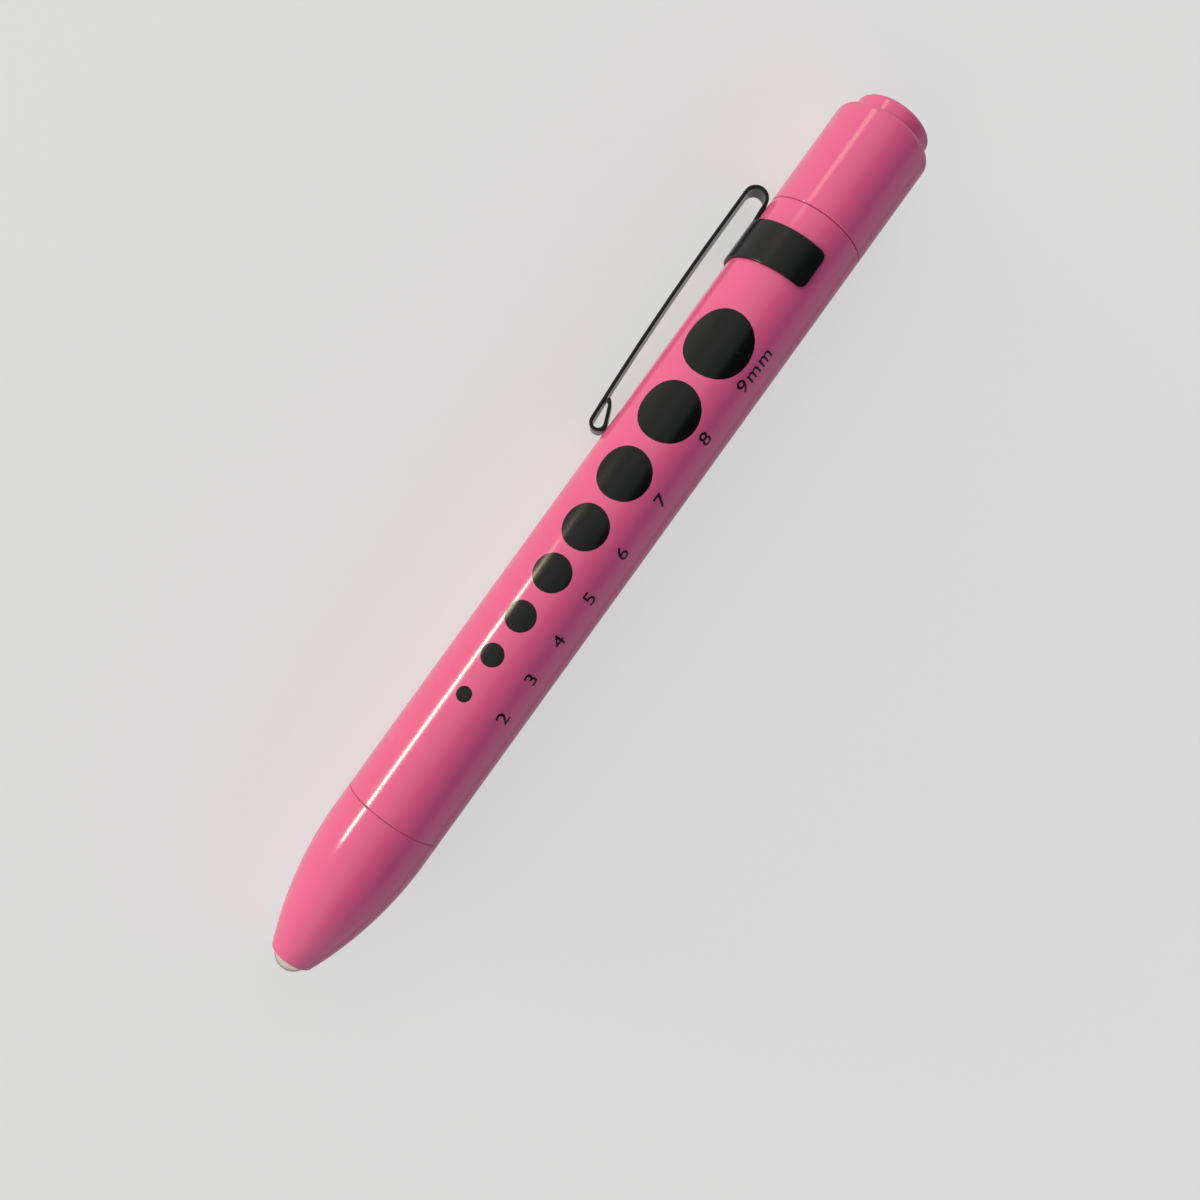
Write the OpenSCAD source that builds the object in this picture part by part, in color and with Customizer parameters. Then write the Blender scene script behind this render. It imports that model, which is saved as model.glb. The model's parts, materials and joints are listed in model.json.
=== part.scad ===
// Pocket penlight: a turned and painted aluminium case for two AAA cells, with a
// screw-on head, a screw-on tail cap that holds a push-button switch, and a sprung clip.
// All lengths are millimetres. The pen is drawn upright on its own axis, beam up, with the
// barrel's tail seam at height 0 and the clip towards +X, and is then laid down on its clip.

/* [Cells] */
// Diameter of one cell
cell_d = 10.5; // [9.5:0.1:11.5]
// Length of one cell with its nub
cell_len = 44.5; // [40:0.5:50]
// Diameter of the positive nub
nub_d = 3.8; // [3:0.1:4.5]
// Height of the positive nub
nub_h = 1; // [0.6:0.1:1.6]

/* [Barrel] */
// Wall of the barrel round the cells
barrel_wall = 1.35; // [1.2:0.05:2.5]
// Length of the threaded neck at each end of the barrel
neck_len = 4.5; // [3.5:0.5:7]
// Wall of the threaded necks
neck_wall = 0.8; // [0.6:0.05:1]
// Bevel on each side of the two seams
seam_bevel = 0.28; // [0.15:0.01:0.4]

/* [Head] */
// Length of the head from its seam to the nose
head_len = 21.9; // [19:0.1:28]
// Straight stretch of the head before the ogive begins
head_straight = 3; // [1:0.1:5]
// Thickness of the round lip at the nose
nose_lip = 0.4; // [0.3:0.05:1]

/* [Light] */
// Diameter of the lamp's clear body
led_d = 5; // [3:0.1:5.4]
// Height of the lamp from its flange to the top of its dome
led_h = 8.6; // [7:0.1:9]
// Diameter of the lamp's flange
led_flange_d = 5.8; // [5.5:0.1:6.4]
// Thickness of the lamp's flange
led_flange_t = 1; // [0.6:0.1:1.5]
// How far the dome stands out of the nose
led_proud = 1.75; // [0.5:0.05:2.2]
// Thickness of the round board behind the lamp
board_t = 1.2; // [0.8:0.1:1.6]
// Height of the brass contact that meets the front cell
contact_h = 2; // [1.5:0.1:3]

/* [Tail] */
// Working length of the battery spring
spring_len = 5.5; // [4.5:0.1:8]
// Length of the switch nose that reaches into the barrel's neck
switch_nose_len = 4.2; // [3.6:0.1:5]
// Height of the switch body behind the retaining ring
switch_h = 4.7; // [4:0.1:7]
// Thickness of the retaining ring
ring_t = 1.2; // [0.8:0.1:2]
// Thickness of the tail cap's end wall
cap_end_t = 1.45; // [1:0.05:2.5]
// Radius of the tail cap's rounded shoulder
cap_shoulder = 0.78; // [0.3:0.02:1]

/* [Button] */
// How far the button stands out of the tail cap
button_proud = 2.32; // [1.8:0.02:4]
// Radius of the button's outer edge
button_edge = 0.5; // [0.2:0.05:1]
// Travel of the button
press_travel = 1.5; // [0.8:0.1:1.7]

/* [Clip] */
// Thickness of the clip's spring strip
clip_t = 0.45; // [0.3:0.05:0.7]
// Width of the strip
clip_w = 3.2; // [2.5:0.1:5]
// Width of the band round the barrel
band_w = 5.8; // [4.5:0.1:9]
// Angle that the band wraps to each side of the strip
band_wrap = 118; // [100:1:140]
// Distance from the tail seam to the band
band_setback = 3.8; // [2.5:0.1:8]
// Inner radius of the bend at the top of the clip
bend_r = 1.2; // [1:0.01:2.5]
// Distance from the bend's centre to the centre of the curled tip
arm_len = 34.6; // [25:0.1:50]
// Straight stretch of the arm next to the bend
arm_straight = 6.2; // [3:0.1:12]
// Outer radius of the curled tip
curl_r = 1.15; // [0.9:0.01:1.6]

/* [Gauge] */
// Diameter of the smallest printed dot
dot_first_d = 2; // [1:0.5:3]
// Step in diameter from one dot to the next
dot_step_d = 1; // [0.8:0.1:1.1]
// Angle from the clip to the row of dots
gauge_angle = 80; // [65:1:110]

/* [Hidden] */
$fn = 96;
// Segments for the shallow arcs of the ogive and of the bowed arm
fine_fn = 720;

// Clearances, and the overrun of every cut
cell_clear = 0.15;
thread_clear = 0.05;
slip_clear = 0.05;
slide_clear = 0.08;
band_clear = 0.03;
tip_clear = 0.05;
seat_clear = 0.15;
overrun = 1;

// Radii of the case, from the cells outwards
cell_r = cell_d / 2;
cell_edge = 0.5;
nub_edge_share = 0.3;
bore_r = cell_r + cell_clear;
barrel_r = bore_r + barrel_wall;
neck_r = bore_r + neck_wall;
neck_bevel = 0.3;
thread_r = neck_r + thread_clear;

// Heights of the tail pieces, from the neck's end down to the button
ring_top_z = -neck_len - seat_clear;
ring_z = ring_top_z - ring_t;
switch_z = ring_z - switch_h;
press_margin = 0.6;
flange_z = switch_z - press_travel - press_margin;
button_flange_t = 1;
wall_z = flange_z - button_flange_t;
cap_z = wall_z - cap_end_t;
button_z = cap_z - button_proud;
spring_z = ring_z + switch_nose_len;

// Heights of the cells and of the light, from the battery spring up to the dome
rear_cell_z = spring_z + spring_len;
front_cell_z = rear_cell_z + cell_len;
contact_z = front_cell_z + cell_len;
board_z = contact_z + contact_h;
barrel_len = board_z - neck_len;
holder_z = board_z + board_t;
nose_z = barrel_len + head_len;
dome_z = nose_z + led_proud;
led_z = dome_z - led_h;

// Ogive of the head: an arc that leaves the straight stretch and ends in a round lip
led_r = led_d / 2;
lamp_bore_r = led_r + slip_clear;
lip_r = nose_lip / 2;
lip_x = lamp_bore_r + lip_r;
lip_rise = head_len - head_straight - lip_r;
lip_inset = barrel_r - lip_x;
ogive_r = (lip_rise * lip_rise + lip_inset * lip_inset - lip_r * lip_r) / (2 * (lip_inset - lip_r));

// Lamp holder behind the lamp: a body, a cone and a short nose
seat_w = 1.3;
holder_r = thread_r - seat_w - slip_clear;
holder_nose_r = led_flange_d / 2;
holder_len = led_z - holder_z;
cone_start_share = 0.63;
cone_end_share = 0.88;
lead_pitch = 2.54;
lead_w = 0.5;
lead_stub = 0.7;
lead_hole_d = 0.9;
post_rise = 4.2;
cathode_w = 1.6;
cup_d = 1;
flange_flat_share = 0.93;

// Brass contact and chip resistor on the back of the board
contact_flange_d = 6;
contact_cap_d = 4.4;
contact_skin = 0.28;
chip_len = 3.2;
chip_w = 1.6;
chip_t = 0.55;
chip_gap = 0.25;
chip_end = 0.5;

// Radii of the tail cap's bores and of the pieces in them, from the thread inwards
switch_step = 0.2;
seat_step = 0.25;
button_lip = 0.36;
switch_bore_r = thread_r - switch_step;
switch_r = switch_bore_r - slip_clear;
button_bore_r = switch_bore_r - seat_step;
button_flange_r = button_bore_r - slide_clear;
button_hole_r = button_flange_r - button_lip;
button_r = button_hole_r - slide_clear;
button_skin = 1.2;
ring_w = 1.15;
ring_r = thread_r - thread_clear;
ring_bore_r = ring_r - ring_w;
ring_slot_w = 1.4;
ring_slot_t = 0.5;
switch_nose_r = ring_bore_r - slip_clear;

// Inside of the switch
disc_t = 0.3;
disc_rim = 0.5;
disc_r = switch_nose_r - disc_rim;
rivet_r = 0.8;
rivet_head_r = 1.3;
rivet_head_t = 0.4;
switch_floor_t = 1.2;
switch_wall = 1.35;
cavity_r = switch_nose_r - switch_wall;
floor_z = spring_z - disc_t - switch_floor_t;
lid_t = 0.9;
lid_spigot_t = 0.5;
lid_z = switch_z + lid_t + lid_spigot_t;
plunger_r = 2;
plunger_flange_r = cavity_r - slide_clear;
plunger_flange_t = 1;
plunger_stem_r = 1.5;
touch_gap = 0.05;
moving_r = 1.9;
moving_t = 0.5;
moving_z = floor_z - rivet_head_t - press_travel - touch_gap;
washer_t = 0.3;
washer_r = cavity_r - slip_clear;
washer_bore_r = 2;
tab_w = 2;

// Springs: wire, end radii and turns
battery_wire_d = 0.6;
battery_wide_r = 3.3;
battery_narrow_r = 2.3;
battery_turns = 4;
return_wire_d = 0.35;
return_r = (plunger_flange_r + moving_r) / 2;
return_turns = 5;
curl_rings = 8;
wire_sides = 6;
spring_seat = 0.04;

// Clip seen from the side: x is the distance from the pen's axis, y the height
clip_lift = 0.1;
band_r = barrel_r + band_clear;
root_x = barrel_r + clip_lift + clip_t / 2;
bend_mid_r = bend_r + clip_t / 2;
bend_x = root_x + bend_mid_r;
bend_drop = 2.63;
bend_y = band_setback - bend_drop;
arm_x = bend_x + bend_mid_r;
arm_out_x = arm_x + clip_t / 2;
curl_mid_r = curl_r - clip_t / 2;
curl_x = barrel_r + tip_clear + curl_r;
curl_y = bend_y + arm_len;
bow_y = bend_y + arm_straight;
bow_run = curl_y - bow_y;
bow_fall = arm_x - curl_x;
bow_r = (bow_run * bow_run + bow_fall * bow_fall - curl_mid_r * curl_mid_r)
    / (2 * (bow_fall - curl_mid_r));
bow_angle = asin(bow_run / (bow_r - curl_mid_r));
leg_angle = 29;
leg_x = curl_x - curl_mid_r * cos(leg_angle);
leg_y = curl_y - curl_mid_r * sin(leg_angle);
leg_corner = clip_t / 2 * cos(leg_angle);
band_corner = 1;

// Printed gauge: each dot's place along the barrel, as a share of it from the head seam
ink_t = 0.05;
dot_shares = [0.1975, 0.2613, 0.325, 0.3962, 0.4719, 0.5602, 0.6629, 0.7761];

// Laid on the clip: the roll that brings the barrel and the clip's edge to one surface
roll = acos(barrel_r / norm([arm_out_x, clip_w / 2])) + atan2(clip_w / 2, arm_out_x);
mid_x = (button_z + dome_z) / 2;
mid_y = (barrel_r - arm_out_x * sin(roll) - clip_w / 2 * cos(roll)) / 2;

// Colours
pink = "#d65c85";
black = "#1d2121";
brass = "#c9a552";
steel = "#b9bcc0";

// Lays the upright pen along X, beam towards +X, on a surface at height 0
module laid() {
    translate([-mid_x, -mid_y, barrel_r]) rotate([-roll, 0, 0]) rotate([0, 90, 0]) children();
}

// Half section of a round post with a rounded top edge
module post_section(r, low, high, edge) {
    translate([0, low]) square([r, high - low - edge]);
    translate([0, low]) square([r - edge, high - low]);
    translate([r - edge, high - edge]) circle(edge);
}

// Half section of a plain ring or tube
module ring_section(inner, outer, low, high) {
    translate([inner, low]) square([outer - inner, high - low]);
}

module head_outline() {
    intersection() {
        translate([barrel_r - ogive_r, barrel_len + head_straight]) circle(ogive_r, $fn = fine_fn);
        translate([0, barrel_len + head_straight]) square([barrel_r, lip_rise]);
    }
    polygon([
        [0, barrel_len],
        [barrel_r - seam_bevel, barrel_len],
        [barrel_r, barrel_len + seam_bevel],
        [barrel_r, barrel_len + head_straight],
        [0, barrel_len + head_straight]
    ]);
    translate([lip_x, nose_z - lip_r]) circle(lip_r);
}

// Section of what the head is bored out to, from the thread to the lamp
module head_bore() {
    cone_start_z = holder_z + holder_len * cone_start_share;
    cone_end_z = holder_z + holder_len * cone_end_share;
    seat_z = led_z + led_flange_t;
    polygon([
        [0, barrel_len - overrun],
        [thread_r, barrel_len - overrun],
        [thread_r, holder_z],
        [holder_r + slip_clear, holder_z],
        [holder_r + slip_clear, cone_start_z],
        [holder_nose_r + slip_clear, cone_end_z],
        [holder_nose_r + slip_clear, seat_z],
        [lamp_bore_r, seat_z],
        [lamp_bore_r, nose_z + overrun],
        [0, nose_z + overrun]
    ]);
}

module head_shell() color(pink) laid() rotate_extrude() difference() {
    head_outline();
    head_bore();
}

// The two posts of the lamp's lead frame, spaced along Y, with a cup in the wider one
module lead_posts() {
    for (side = [-1, 1]) {
        width = side < 0 ? cathode_w : lead_w;
        difference() {
            union() {
                translate([-lead_w / 2, side * lead_pitch / 2 - lead_w / 2, board_z - lead_stub])
                    cube([lead_w, lead_w, led_z + led_flange_t - board_z + lead_stub]);
                translate([-lead_w / 2, side < 0 ? -lead_pitch / 2 - lead_w / 2 : (lead_pitch - lead_w) / 2,
                        led_z + led_flange_t])
                    cube([lead_w, width, post_rise - led_flange_t]);
            }
            if (side < 0)
                translate([0, -lead_pitch / 2 - lead_w / 2 + cathode_w / 2, led_z + post_rise])
                    sphere(d = cup_d);
        }
    }
}

module led() color("#eef4f6", 0.5) laid() difference() {
    rotate_extrude() {
        ring_section(0, led_flange_d / 2, led_z, led_z + led_flange_t);
        ring_section(0, led_r, led_z, dome_z - led_r);
        translate([0, dome_z - led_r]) intersection() {
            circle(led_r);
            square(led_r);
        }
    }
    translate([-led_flange_d / 2, -led_flange_d / 2 - overrun, led_z - overrun])
        cube([led_flange_d, led_flange_d / 2 * (1 - flange_flat_share) + overrun,
            led_flange_t + overrun]);
    lead_posts();
}

module led_leadframe() color(steel) laid() lead_posts();

// Bores that the two leads pass through
module lead_holes(low, high) {
    for (side = [-1, 1])
        translate([0, side * lead_pitch / 2, low - overrun])
            cylinder(d = lead_hole_d, h = high - low + 2 * overrun);
}

module led_holder() color("#f2f1ea") laid() difference() {
    rotate_extrude() polygon([
        [0, holder_z],
        [holder_r, holder_z],
        [holder_r, holder_z + holder_len * cone_start_share],
        [holder_nose_r, holder_z + holder_len * cone_end_share],
        [holder_nose_r, led_z],
        [0, led_z]
    ]);
    lead_holes(holder_z, led_z);
}

module led_board() color("#2f6b3d") laid() difference() {
    translate([0, 0, board_z]) cylinder(r = thread_r - slip_clear, h = board_t);
    lead_holes(board_z, holder_z);
}

// Chip resistor beside the contact, with its two metal ends
module resistor() color("#26262a") laid()
    translate([contact_flange_d / 2 + chip_gap, -chip_len / 2, board_z - chip_t]) {
        translate([0, chip_end, 0]) cube([chip_w, chip_len - 2 * chip_end, chip_t]);
        for (y = [0, chip_len - chip_end])
            translate([0, y, 0]) cube([chip_w, chip_end, chip_t]);
    }

// Drawn brass cap whose flange is soldered to the board
module positive_contact() color(brass) laid() rotate_extrude() difference() {
    union() {
        ring_section(0, contact_flange_d / 2, board_z - contact_skin, board_z);
        ring_section(0, contact_cap_d / 2, contact_z, board_z);
    }
    ring_section(0, contact_cap_d / 2 - contact_skin, contact_z + contact_skin, board_z + overrun);
}

module barrel() color(pink) laid() rotate_extrude() polygon([
    [bore_r, -neck_len],
    [neck_r - neck_bevel, -neck_len],
    [neck_r, -neck_len + neck_bevel],
    [neck_r, 0],
    [barrel_r - seam_bevel, 0],
    [barrel_r, seam_bevel],
    [barrel_r, barrel_len - seam_bevel],
    [barrel_r - seam_bevel, barrel_len],
    [neck_r, barrel_len],
    [neck_r, board_z - neck_bevel],
    [neck_r - neck_bevel, board_z],
    [bore_r, board_z]
]);

module cell(low) {
    shoulder_z = low + cell_len - nub_h;
    rotate_extrude() {
        post_section(cell_r, low + cell_edge, shoulder_z, cell_edge);
        translate([0, low + 2 * cell_edge]) mirror([0, 1]) post_section(cell_r, 0, 2 * cell_edge, cell_edge);
        post_section(nub_d / 2, shoulder_z - cell_edge, low + cell_len, nub_h * nub_edge_share);
    }
}

module front_cell() color("#8f979e") laid() cell(front_cell_z);

module rear_cell() color("#8f979e") laid() cell(rear_cell_z);

// Eight dots, printed at the size in millimetres that each stands for. A dot is round on the
// unrolled barrel, so seen square on it is narrower across than along
module gauge_print() color(black) laid() intersection() {
    rotate_extrude() ring_section(barrel_r, barrel_r + ink_t, 0, barrel_len);
    rotate([0, 0, -gauge_angle])
        for (i = [0 : len(dot_shares) - 1]) {
            dot_r = (dot_first_d + i * dot_step_d) / 2;
            across = barrel_r * sin(dot_r / barrel_r * 180 / PI);
            translate([0, 0, barrel_len * (1 - dot_shares[i])]) rotate([0, 90, 0])
                linear_extrude(barrel_r + overrun) scale([dot_r, across]) circle(1);
        }
}

// Piece of a bent strip: an arc of mean radius r about the origin, between two angles
module strip_arc(r, from, to) {
    reach = 2 * (r + clip_t);
    intersection() {
        difference() {
            circle(r + clip_t / 2);
            circle(r - clip_t / 2);
        }
        polygon([
            [0, 0],
            [reach * cos(from), reach * sin(from)],
            for (share = [0.25, 0.5, 0.75])
                [reach * cos(from + (to - from) * share), reach * sin(from + (to - from) * share)],
            [reach * cos(to), reach * sin(to)]
        ]);
    }
}

// Makes a side view of the clip as wide as the strip
module strip_wide() {
    rotate([90, 0, 0]) linear_extrude(clip_w, center = true) children();
}

// Waste at one corner of the band's free end, seen along the radius
module corner_waste() {
    difference() {
        translate([-band_corner, -band_corner]) square(band_corner + overrun);
        translate([-band_corner, -band_corner]) circle(band_corner);
    }
}

module clip_band() color(black) laid() {
    difference() {
        rotate([0, 0, -band_wrap]) rotate_extrude(angle = 2 * band_wrap)
            ring_section(band_r, band_r + clip_t, band_setback, band_setback + band_w);
        for (side = [-1, 1], top = [0, 1])
            rotate([0, 0, side * band_wrap])
                translate([0, 0, band_setback + top * band_w])
                    rotate([90, 0, 90]) mirror([side < 0 ? 1 : 0, 0, 0]) mirror([0, 1 - top, 0])
                        linear_extrude(band_r + clip_t + overrun) corner_waste();
    }
    difference() {
        strip_wide() translate([root_x - clip_t / 2, bend_y])
            square([clip_t, band_setback + band_w / 2 - bend_y]);
        translate([0, 0, bend_y - overrun]) cylinder(r = band_r, h = band_setback + band_w - bend_y);
    }
    strip_wide() translate([bend_x, bend_y]) strip_arc(bend_mid_r, 180, 270);
}

// Inner face of the bowed arm at a given height
function arm_in_x(y) = arm_x - bow_r + sqrt(pow(bow_r - clip_t / 2, 2) - pow(y - bow_y, 2));
function leg_reach(y) = (arm_in_x(y) - tip_clear - leg_corner - leg_x) / sin(leg_angle);

module clip_arm() color(black) laid() strip_wide() {
    leg_len = leg_reach(leg_y - leg_reach(leg_y) * cos(leg_angle));
    translate([bend_x, bend_y]) strip_arc(bend_mid_r, 270, 360);
    translate([arm_x - clip_t / 2, bend_y]) square([clip_t, arm_straight]);
    translate([arm_x - bow_r, bow_y]) strip_arc(bow_r, 0, bow_angle, $fn = fine_fn);
    translate([curl_x, curl_y]) strip_arc(curl_mid_r, bow_angle, 180 + leg_angle);
    translate([leg_x, leg_y]) rotate(leg_angle) translate([-clip_t / 2, -leg_len]) square([clip_t, leg_len]);
}

// Centre line of a coil spring: the point at one ring
function coil_point(i, low, high, low_r, high_r, turns) =
    let (share = i / (turns * curl_rings), r = low_r + (high_r - low_r) * share, a = 360 * i / curl_rings)
    [r * cos(a), r * sin(a), low + (high - low) * share];

// Least gap between neighbouring coils, measured on the points of the centre line
function coil_gap(points, wire_d) = min([
    for (i = [0 : len(points) - 1], j = [i + curl_rings - 2 : 1 : len(points) - 1])
        norm(points[j] - points[i]) - wire_d
]);

// One unbroken wire wound from a low seat to a high one
module coil(low_seat, high_seat, low_r, high_r, turns, wire_d) {
    low = low_seat + wire_d / 2 + spring_seat;
    high = high_seat - wire_d / 2 - spring_seat;
    last = turns * curl_rings;
    line = [for (i = [0 : last]) coil_point(i, low, high, low_r, high_r, turns)];
    skin = [
        for (i = [0 : last])
            let (a = 360 * i / curl_rings, out = [cos(a), sin(a), 0])
            for (s = [0 : wire_sides - 1])
                let (b = 360 * s / wire_sides)
                line[i] + wire_d / 2 * (cos(b) * out + sin(b) * [0, 0, 1])
    ];
    sides = [
        for (i = [0 : last - 1], s = [0 : wire_sides - 1])
            let (a = i * wire_sides + s, b = i * wire_sides + (s + 1) % wire_sides)
            each [[a, a + wire_sides, b], [b, a + wire_sides, b + wire_sides]]
    ];
    ends = [
        for (s = [1 : wire_sides - 2])
            each [[0, s, s + 1], [last * wire_sides, last * wire_sides + s + 1, last * wire_sides + s]]
    ];
    echo(least_gap_of_the_coil = coil_gap(line, wire_d));
    polyhedron(skin, concat(sides, ends));
}

module battery_spring() color(steel) laid()
    coil(spring_z, rear_cell_z, battery_wide_r, battery_narrow_r, battery_turns, battery_wire_d);

module return_spring() color(steel) laid()
    coil(lid_z + plunger_flange_t, floor_z - washer_t, return_r, return_r, return_turns, return_wire_d);

// Section of what the cap is bored out to, from the thread to the button's hole
module cap_bore() polygon([
    [0, overrun],
    [thread_r, overrun],
    [thread_r, ring_z],
    [switch_bore_r, ring_z],
    [switch_bore_r, switch_z],
    [button_bore_r, switch_z],
    [button_bore_r, wall_z],
    [button_hole_r, wall_z],
    [button_hole_r, cap_z - overrun],
    [0, cap_z - overrun]
]);

module tail_cap() color(pink) laid() rotate_extrude() difference() {
    mirror([0, 1]) post_section(barrel_r, 0, -cap_z, cap_shoulder);
    cap_bore();
    polygon([
        [barrel_r - seam_bevel - overrun, overrun],
        [barrel_r + overrun, overrun],
        [barrel_r + overrun, -seam_bevel - overrun]
    ]);
}

// Threaded ring that holds the switch, with two slots for a spanner
module retaining_ring() color("#c3c6c9") laid() difference() {
    rotate_extrude() ring_section(ring_bore_r, ring_r, ring_z, ring_top_z);
    translate([-ring_r - overrun, -ring_slot_w / 2, ring_top_z - ring_slot_t])
        cube([2 * (ring_r + overrun), ring_slot_w, ring_slot_t + overrun]);
}

// Washer in the floor of the switch, with a tab that runs out to the retaining ring
module contact_strip() {
    rotate_extrude() ring_section(washer_bore_r, washer_r, floor_z - washer_t, floor_z);
    intersection() {
        rotate_extrude() {
            ring_section((washer_bore_r + washer_r) / 2, switch_nose_r, floor_z - washer_t, floor_z);
            ring_section(switch_nose_r - washer_t, switch_nose_r, ring_z, floor_z);
        }
        translate([0, -tab_w / 2, ring_z]) cube([switch_nose_r, tab_w, floor_z - ring_z]);
    }
}

module switch_housing() color("#f2f1ea") laid() difference() {
    rotate_extrude() difference() {
        union() {
            ring_section(0, switch_nose_r, ring_z, spring_z - disc_t);
            ring_section(0, switch_r, switch_z + lid_t, ring_z);
        }
        ring_section(0, cavity_r, switch_z, floor_z);
        ring_section(0, rivet_r, floor_z - overrun, spring_z);
    }
    contact_strip();
}

module switch_lid() color("#e3e1d8") laid() rotate_extrude() {
    ring_section(plunger_r + slide_clear, switch_r, switch_z, switch_z + lid_t);
    ring_section(plunger_r + slide_clear, cavity_r - slip_clear, switch_z + lid_t, lid_z);
}

module switch_plunger() color("#cfd3d6") laid() rotate_extrude() {
    ring_section(0, plunger_r, button_z + button_skin, lid_z);
    ring_section(0, plunger_flange_r, lid_z, lid_z + plunger_flange_t);
    ring_section(0, plunger_stem_r, lid_z + plunger_flange_t, moving_z - moving_t);
}

module moving_contact() color(brass) laid() rotate_extrude()
    ring_section(0, moving_r, moving_z - moving_t, moving_z);

// Rivet through the switch's floor, with the disc that the battery spring stands on
module fixed_contact() color(brass) laid() rotate_extrude() {
    ring_section(0, disc_r, spring_z - disc_t, spring_z);
    ring_section(0, rivet_r, floor_z, spring_z - disc_t);
    ring_section(0, rivet_head_r, floor_z - rivet_head_t, floor_z);
}

module side_contact() color(brass) laid() contact_strip();

module button() color(pink) laid() rotate_extrude() mirror([0, 1]) difference() {
    union() {
        ring_section(0, button_flange_r, -flange_z, -wall_z);
        post_section(button_r, -flange_z, -button_z, button_edge);
    }
    ring_section(0, button_r - button_skin, -flange_z - overrun, -button_z - button_skin);
}

head_shell();
led();
led_leadframe();
led_holder();
led_board();
resistor();
positive_contact();
barrel();
front_cell();
rear_cell();
gauge_print();
clip_band();
clip_arm();
battery_spring();
tail_cap();
retaining_ring();
switch_housing();
switch_lid();
switch_plunger();
return_spring();
moving_contact();
fixed_contact();
side_contact();
button();
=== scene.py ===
"""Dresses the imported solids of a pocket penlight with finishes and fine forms.

Pieces are drawn in the pen's own frame, in millimetres: Z runs along the beam from the tail
seam, and X points at the clip. One matrix, PEN, takes them to the frame of the solids.
"""

import json
import math
from types import SimpleNamespace

import bmesh
import bpy
from mathutils import Matrix, Vector


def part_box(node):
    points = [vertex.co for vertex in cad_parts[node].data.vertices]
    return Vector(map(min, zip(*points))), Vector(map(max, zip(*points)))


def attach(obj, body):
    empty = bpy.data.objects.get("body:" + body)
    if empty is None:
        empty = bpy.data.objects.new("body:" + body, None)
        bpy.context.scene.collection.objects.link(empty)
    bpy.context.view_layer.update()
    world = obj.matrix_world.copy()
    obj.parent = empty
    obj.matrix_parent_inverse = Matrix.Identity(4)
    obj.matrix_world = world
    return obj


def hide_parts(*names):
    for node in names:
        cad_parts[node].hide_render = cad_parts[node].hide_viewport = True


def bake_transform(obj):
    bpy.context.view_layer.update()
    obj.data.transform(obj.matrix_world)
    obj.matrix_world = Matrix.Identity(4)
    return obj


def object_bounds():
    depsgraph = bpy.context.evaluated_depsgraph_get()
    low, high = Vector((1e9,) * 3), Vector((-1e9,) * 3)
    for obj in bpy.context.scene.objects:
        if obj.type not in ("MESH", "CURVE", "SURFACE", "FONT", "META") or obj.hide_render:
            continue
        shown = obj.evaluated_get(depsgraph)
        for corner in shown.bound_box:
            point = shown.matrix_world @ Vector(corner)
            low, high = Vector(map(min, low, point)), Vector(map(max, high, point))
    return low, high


bl_info = {
    "name": "Penlight",
    "version": (1, 0, 0),
    "blender": (4, 5, 0),
    "location": "View3D > Sidebar > Penlight",
    "description": "Dresses the solids of a pocket penlight with finishes and fine forms",
    "category": "Object",
}

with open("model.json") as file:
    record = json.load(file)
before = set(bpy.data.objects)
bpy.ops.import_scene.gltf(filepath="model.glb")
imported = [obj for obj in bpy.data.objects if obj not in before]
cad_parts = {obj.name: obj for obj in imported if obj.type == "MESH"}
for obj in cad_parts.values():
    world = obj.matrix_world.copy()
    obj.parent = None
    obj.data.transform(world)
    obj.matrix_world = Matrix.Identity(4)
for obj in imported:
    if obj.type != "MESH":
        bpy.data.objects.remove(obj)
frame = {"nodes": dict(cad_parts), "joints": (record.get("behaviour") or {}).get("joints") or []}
CAD_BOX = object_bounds()
MM = 0.001
# Rounding of a softened edge, in millimetres
SOFT = 0.05


def pen_frame():
    """Matrix from the pen's own frame, in millimetres, to the frame of the solids."""
    low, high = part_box("tail_cap")
    flex = next(joint for joint in frame["joints"] if joint["name"] == "clip_flex")
    side, beam = Vector(flex["axis"]), Vector((1, 0, 0))
    turn = Matrix((side.cross(beam), side, beam)).transposed().to_4x4()
    seam = Vector((high.x, (low.y + high.y) / 2, (low.z + high.z) / 2))
    return Matrix.Translation(seam) @ turn @ Matrix.Scale(MM, 4)


PEN = pen_frame()


def span(node):
    """Lowest and highest point of a node along the pen, in millimetres from the tail seam."""
    low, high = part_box(node)
    return (low.x - PEN.translation.x) / MM, (high.x - PEN.translation.x) / MM


def girth(node):
    """Radius of a round node, in metres."""
    low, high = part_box(node)
    return (high.y - low.y) / 2


def linear(code):
    """An sRGB hex colour as linear red, green, blue and alpha."""
    parts = [int(code[i:i + 2], 16) / 255 for i in (1, 3, 5)]
    return (*(p / 12.92 if p <= 0.04045 else ((p + 0.055) / 1.055) ** 2.4 for p in parts), 1.0)


def length(name, description, value):
    """A length that a user can change."""
    return bpy.props.FloatProperty(name=name, description=description, default=value, min=0,
                                   unit="LENGTH", precision=5)


def degrees(name, description, value):
    """An angle that a user can change."""
    return bpy.props.FloatProperty(name=name, description=description, default=math.radians(value),
                                   subtype="ANGLE")


def amount(name, description, value, unit="NONE"):
    """A strength that a user can change."""
    return bpy.props.FloatProperty(name=name, description=description, default=value, min=0,
                                   unit=unit)


def colour(name, description, code):
    """A colour that a user can change."""
    return bpy.props.FloatVectorProperty(name=name, description=description, default=linear(code),
                                         size=4, min=0, max=1, subtype="COLOR")


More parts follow.
